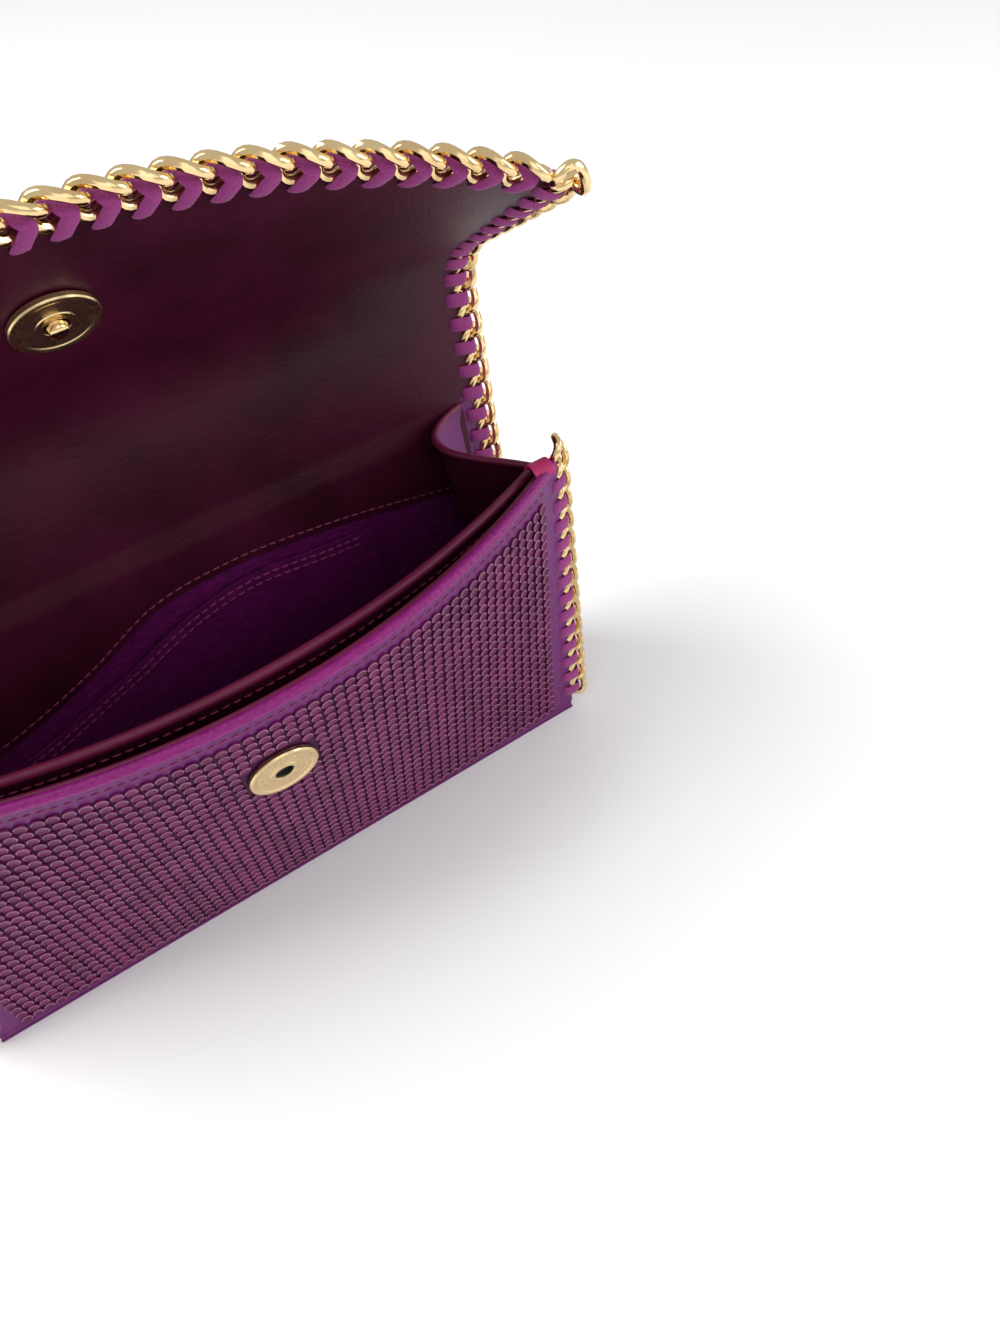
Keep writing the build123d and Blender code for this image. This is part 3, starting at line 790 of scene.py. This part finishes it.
def one_stone():
    """The faces of one stone: bands between its rings, a middle and a foot."""
    faces = []
    for ring in range(len(RINGS) - 1):
        low, high = ring * SIDES, (ring + 1) * SIDES
        for k in range(SIDES):
            l = (k + 1) % SIDES
            faces.append((low + k, low + l, high + l, high + k))
    last = (len(RINGS) - 1) * SIDES
    middle = last + SIDES
    faces += [(last + k, last + (k + 1) % SIDES, middle) for k in range(SIDES)]
    faces.append(tuple(range(SIDES))[::-1])
    return faces


def stones(surface, x, s, out, base):
    """Stones at a list of places, each a little uneven, as one set of points and faces."""
    across, up, normal = axes(surface, x, s, out)
    at = surface(x, s) + normal * base
    tilt = rng.normal(0, UNEVEN_TILT, (len(x), 2, 1))
    normal = unit(normal + across * tilt[:, 0] + up * tilt[:, 1])
    size = rng.normal(1, UNEVEN_SIZE, (len(x), 1)) * STONE_RADIUS
    at = at + across * rng.normal(0, UNEVEN_PLACE, (len(x), 1))
    at = at + up * rng.normal(0, UNEVEN_PLACE, (len(x), 1))
    points = []
    for share, height in RINGS:
        for a in np.linspace(0, 2 * np.pi, SIDES, endpoint=False):
            outwards = across * math.cos(a) + up * math.sin(a)
            points.append(at + outwards * share * size + normal * height)
    points.append(at + normal * MIDDLE_HEIGHT)
    count = len(points)
    pattern = one_stone()
    faces = [tuple(i * count + k for k in face) for i in range(len(x)) for face in pattern]
    return np.stack(points, 1).reshape(-1, 3), faces


def paint_lip_highlights(thing):
    """Give the faces of each stone's raised lip a paler colour, which is a painted highlight."""
    thing.data.materials.append(STONE_LIP_HIGHLIGHT)
    each = len(RINGS) * SIDES + 1
    for face in thing.data.polygons:
        rings = [(k % each) // SIDES for k in face.vertices]
        if min(rings) >= LIP[0] and max(rings) <= LIP[-1]:
            face.material_index = 1


def field(half, low, high):
    """Rows and columns of places for stones, as two flat lists."""
    columns = int(2 * half / STONE_STEP)
    rows = int((high - low) / STONE_STEP)
    x = (np.arange(columns + 1) - columns / 2) * STONE_STEP
    s = low + np.arange(rows + 1) * STONE_STEP
    x, s = np.meshgrid(x, s, indexing="ij")
    return x.ravel(), s.ravel()


# %% Painted shade: darker satin under the stones
FIELD_HALF = 83.5
SHADE_SHEET_HALF = FIELD_HALF + 0.1
SHADE_SHEET_TOP, SHADE_SHEET_FOOT = WALL / 2 + 0.06, WALL / 2 - 0.1
# These sheets are painted shade, laid under the stones where they shade the panel.
piece("front_painted_shade_under_stones", panel_sheet(front_mid, SHADE_SHEET_HALF, 4.2, 86.6, SHADE_SHEET_TOP, SHADE_SHEET_FOOT),
      SHADE, "front_panel")
piece("back_painted_shade_under_stones", wall_sheet(3.2, SPLIT, SHADE_SHEET_TOP, SHADE_SHEET_FOOT, SHADE_SHEET_HALF),
      SHADE, None, (), AT_HINGE)
piece("flap_painted_shade_under_stones", wall_sheet(SPLIT, EDGE - 6.2, SHADE_SHEET_TOP, SHADE_SHEET_FOOT, SHADE_SHEET_HALF),
      SHADE, None, (), AT_CREASE)

# %% Stones on the front, the back and the flap
STONE_BASE = WALL / 2 + 0.02
SNAP_CLEAR = 9.6
BACK_START = 4.0
SPLIT_ROW = int((HINGE + 12 - BACK_START) / STONE_STEP)
x, s = field(FIELD_HALF, 5.0, 87.0)
clear = np.hypot(x, s - SOCKET_Z) > SNAP_CLEAR
front_stones = stones(front_mid, x[clear], s[clear], -1, STONE_BASE)
paint_lip_highlights(piece("front_stones", front_stones, STONES, "front_panel", ("front_crystals",)))
x, s = field(FIELD_HALF, BACK_START, HINGE + 12)
back_stones = stones(wall_mid, x, s, 1, STONE_BASE)
paint_lip_highlights(piece("back_stones", back_stones, STONES, None, ("back_crystals",), AT_HINGE))
x, s = field(FIELD_HALF, BACK_START + STONE_STEP * (SPLIT_ROW + 1), EDGE - 6.0)
flap_stones = stones(wall_mid, x, s, 1, STONE_BASE)
paint_lip_highlights(piece("flap_stones", flap_stones, STONES, None,
                 ("strip_crystals", "flap_crystals"), AT_CREASE))

# %% [markdown]
# The curb chain is one link repeated. A curb link is an oval ring with a twist, so that
# the links lie flat against each other. A flat suede lace goes round the panel's edge and
# through each link, and it leans a little because one long lace makes all the stitches.

# %% One link and one stitch
def curb_link():
    t = np.linspace(0, 2 * np.pi, 28, endpoint=False)
    line = np.stack([4.5 * np.cos(t), 2.9 * np.sin(t), 1.25 * np.sin(2 * t)], -1)
    return sweep(line, 1.02, 1.02, (0, 0, 1), 9, closed=True)


def lace_loop(lean, wide):
    """A flat lace in a rounded loop round the edge, leaning one way and then the other."""
    t = np.linspace(0, 2 * np.pi, 26, endpoint=False)
    over = np.sign(np.cos(t)) * np.abs(np.cos(t)) ** 0.75 * 3.1 - 2.75
    high = np.sign(np.sin(t)) * np.abs(np.sin(t)) ** 0.6 * 1.95
    along = lean * np.cos(t) * np.sin(t) * 2
    puff = 0.42 + 0.3 * np.abs(np.sin(t)) ** 2
    return sweep(np.stack([along, over, high], -1), wide / 2, puff, (1, 0, 0), 10, closed=True)


LINK = curb_link()
print("a link has", len(LINK[1]), "faces")


def edge_frame(surface, x, s, out, towards):
    """Where a link's middle lies beside an edge, and its three directions."""
    across, up, normal = axes(surface, x, s, out)
    if towards == "top":
        over, along = up, across
    else:
        over, along = across * towards, up * -towards * out
    return surface(x, s) + over * CHAIN_OUT, along, over, np.cross(along, over)


def trim_run(surface, spots, out, lean, wide):
    """The links and the laces at a list of places along a panel's edges."""
    links, laces = [], []
    for x, s, towards in spots:
        place = edge_frame(surface, x, s, out, towards)
        links.append(laid(LINK, *place))
        laces.append(laid(lace_loop(lean, wide * (1 + rng.normal(0, 0.03))), *place))
    return links, laces


# %% Chain and lace along the sides of the wall
SIDE_LACE, EDGE_LACE = (0.5, 3.5), (1.3, 2.9)        # how far a lace leans, and its width
SIDE_LINKS = 28
side_s = np.linspace(6.0, EDGE - 2.6, SIDE_LINKS)
spots = {"back_and_base": [], "top_strip": [], "flap": []}
for place in side_s:
    body = "back_and_base" if place < HINGE else "top_strip" if place < CREASE else "flap"
    spots[body] += [(side * HALF, place, side) for side in (-1, 1)]
for body, word in (("back_and_base", "back"), ("top_strip", "strip"), ("flap", "flap")):
    links, laces = trim_run(wall_mid, spots[body], 1, *SIDE_LACE)
    piece(f"{word}_side_chain", joined(links), GOLD, body, (f"{word}_side_chains",))
    piece(f"{word}_side_lace", joined(laces), LACE, body, (f"{word}_side_laces",))

# %% Chain and lace along the flap's free edge
EDGE_LINKS = 27
edge_x = (np.arange(EDGE_LINKS) - (EDGE_LINKS - 1) / 2) * PITCH
edge_spots = [(x, EDGE, "top") for x in edge_x]
links, laces = trim_run(wall_mid, edge_spots, 1, *EDGE_LACE)
for side in (-1, 1):
    across, up, normal = axes(wall_mid, side * HALF, EDGE, 1)
    over = unit(across * side + up)
    corner = wall_mid(side * HALF, EDGE) + over * (CHAIN_OUT + 0.5)
    links.append(laid(LINK, corner, np.cross(over, normal), over, normal))
piece("flap_edge_curb", joined(links), GOLD, "flap", ("flap_edge_chain",))
piece("flap_edge_lace", joined(laces), LACE, "flap", ("flap_edge_laces",))

# %% Chain and lace along the front's sides
FRONT_LINKS = 13
front_z = FRONT_TALL / 2 + 0.6 + (np.arange(FRONT_LINKS) - (FRONT_LINKS - 1) / 2) * PITCH
front_spots = [(side * HALF, z, side) for z in front_z for side in (-1, 1)]
top_spots = [(side * HALF, FRONT_TALL - 1, side) for side in (-1, 1)]
links, laces = trim_run(front_mid, front_spots, -1, *SIDE_LACE)
ends, _ = trim_run(front_mid, top_spots, -1, *SIDE_LACE)
piece("front_side_chain", joined(links + ends), GOLD, "front_panel", ("front_side_chains",))
piece("front_side_lace", joined(laces), LACE, "front_panel", ("front_side_laces",))

# %% [markdown]
# The magnetic snap has two turned halves: a ring with a socket on the front panel and a
# disc with a stud inside the flap. Both have a rolled rim, and the ring has a circle of
# fine dots.

# %% Turned shapes of the snap
def rim_profile(hole):
    """The snap's plate in section, from its hole out to its rolled rim and under."""
    top = [(hole, 0.3), (hole, 1.45), (hole + 0.15, 1.6), (hole + 1.1, 1.6), (hole + 1.3, 1.45)]
    face = [(6.9, 1.45), (7.1, 1.6), (7.9, 1.72), (8.3, 1.6), (8.5, 1.3), (8.5, 0.5), (8.35, 0.3)]
    return top + face


def dots(radius, height, count=40):
    shapes = []
    for a in np.linspace(0, 2 * np.pi, count, endpoint=False):
        at = np.array([radius * math.cos(a), radius * math.sin(a), height])
        ball = turned([(0.001, 0.12), (0.16, 0.08), (0.2, -0.02), (0.001, -0.05)], 8)
        shapes.append((ball[0] + at, ball[1]))
    return joined(shapes)


def snap_frame(surface, s, depth, out, facing):
    across, up, normal = axes(surface, np.float64(0), np.float64(s), out)
    at = surface(0, s) + normal * depth
    return at, across, np.cross(normal * facing, across), normal * facing


# %% The socket on the front and the stud in the flap
socket_at = snap_frame(front_mid, SOCKET_Z, WALL / 2, -1, 1)
socket = joined([turned(rim_profile(2.3)), dots(5.3, 1.5)])
piece("snap_socket_ring", laid(socket, *socket_at), BRUSHED, "front_panel",
      ("snap_socket_cap",), sharp=30)
well = [(2.28, 0.25), (2.28, 1.2), (2.1, 1.2), (2.0, 0.35), (0.001, 0.3), (0.001, 0.1), (2.2, 0.1)]
piece("snap_socket_well", laid(turned(well, 40), *socket_at), DARK_METAL, "front_panel",
      ("snap_socket_magnet",))
stud_at = snap_frame(wall_mid, CREASE + STUD_DROP, -WALL / 2, 1, -1)
disc = [(0.001, 1.4), (2.6, 1.4)] + rim_profile(2.6)[1:] + [(0.001, 0.3)]
piece("snap_disc", laid(turned(disc), *stud_at), BRUSHED, "flap",
      ("snap_stud_cap", "snap_stud_magnet"), sharp=30)
stud = [(0.001, 1.3), (2.5, 1.3), (2.45, 1.75), (2.0, 1.9), (1.9, 2.6), (1.75, 3.0)]
stud += [(1.3, 3.3), (0.7, 3.42), (0.001, 3.45)]
piece("snap_pin", laid(turned(stud, 40), *stud_at), GOLD, "flap", ("snap_stud",), sharp=60)

# %% [markdown]
# Bar tacks hold the top corners together: eleven turns of pink thread, side by side.

# %% Bar tacks
TACK_Y = -HALF_DEPTH + FRONT_SHIFT + WALL / 2 - 1.0
TACK_TURNS = np.linspace(84.2, 89.2, 11)


def bar_tack(side):
    rows = []
    arc = np.linspace(-0.35, np.pi + 0.35, 9)
    for k, x in enumerate(TACK_TURNS):
        reach = 2.5 + 0.12 * (k % 2)
        across = side * x + 0.12 * np.sin(arc * 2)
        line = np.stack([across, TACK_Y + reach * np.cos(arc), 93.0 + 1.75 * np.sin(arc)], -1)
        rows.append(sweep(line, 0.3, 0.3, (1, 0, 0), 7))
    return joined(rows)


piece("corner_tacks", joined([bar_tack(-1), bar_tack(1)]), PINK_THREAD, "front_panel",
      ("corner_bar_tacks",))

# %% [markdown]
# The stage is a plain white floor under a large soft light from above and behind, with a
# weaker one from the front. The camera stands close and high, to the left of the middle.

# %% Floor and lights
FLOOR_HALF = 6
LIGHT_AIM = (0, 0, 0.06)


def floor():
    mesh = bpy.data.meshes.new("floor")
    corners = [(a * FLOOR_HALF, b * FLOOR_HALF, 0) for a, b in ((-1, -1), (1, -1), (1, 1), (-1, 1))]
    mesh.from_pydata(corners, [], [(0, 1, 2, 3)])
    sheet = bpy.data.objects.new("floor", mesh)
    bpy.context.collection.objects.link(sheet)
    paint = bpy.data.materials.new("floor_white")
    paint.use_nodes = True
    skin = paint.node_tree.nodes["Principled BSDF"]
    skin.inputs["Base Color"].default_value = (0.93, 0.93, 0.93, 1)
    skin.inputs["Roughness"].default_value = 0.9
    mesh.materials.append(paint)


def soft_light(name, at, aim, size, power):
    lamp = bpy.data.lights.new(name, "AREA")
    lamp.size, lamp.energy = size, power
    lamp_object = bpy.data.objects.new(name, lamp)
    lamp_object.location = at
    lamp_object.rotation_euler = (Vector(aim) - Vector(at)).to_track_quat("-Z", "Y").to_euler()
    bpy.context.collection.objects.link(lamp_object)


floor()
soft_light("key_light", (-0.45, 0.3, 0.9), (0, 0, 0.05), 0.6, 8.5)
soft_light("front_light", (0.1, -0.9, 0.75), LIGHT_AIM, 0.8, 1.6)
soft_light("side_light", (0.85, -0.45, 0.45), (0.05, 0, 0.06), 0.5, 3.0)
world = bpy.data.worlds.new("pale_room")
world.use_nodes = True
background = world.node_tree.nodes["Background"]
background.inputs["Color"].default_value = (1, 1, 1, 1)
background.inputs["Strength"].default_value = 0.6
bpy.context.scene.world = world
bpy.context.scene.view_settings.view_transform = "Standard"

# %% Camera
CAMERA_AT = (-0.01408, -0.15833, 0.24622)
CAMERA_FORWARD = Vector((0.3046, 0.5343, -0.7885)).normalized()
CAMERA_UP = Vector((0.465, 0.6391, 0.6126))
FRAME_TALL = 1335           # the frame's longer side, and the lens's focal length in its units
FOCAL = 951
SENSOR = 36.0

camera_data = bpy.data.cameras.new("camera")
camera = bpy.data.objects.new("camera", camera_data)
bpy.context.collection.objects.link(camera)
bpy.context.scene.camera = camera
right = CAMERA_FORWARD.cross(CAMERA_UP).normalized()
turn = Matrix((right, right.cross(CAMERA_FORWARD), -CAMERA_FORWARD)).transposed()
camera.matrix_world = Matrix.Translation(CAMERA_AT) @ turn.to_4x4()
camera_data.sensor_width = SENSOR
camera_data.lens = SENSOR * FOCAL / FRAME_TALL
camera_data.clip_start = 0.01
print("lens", round(camera_data.lens, 2), "mm")
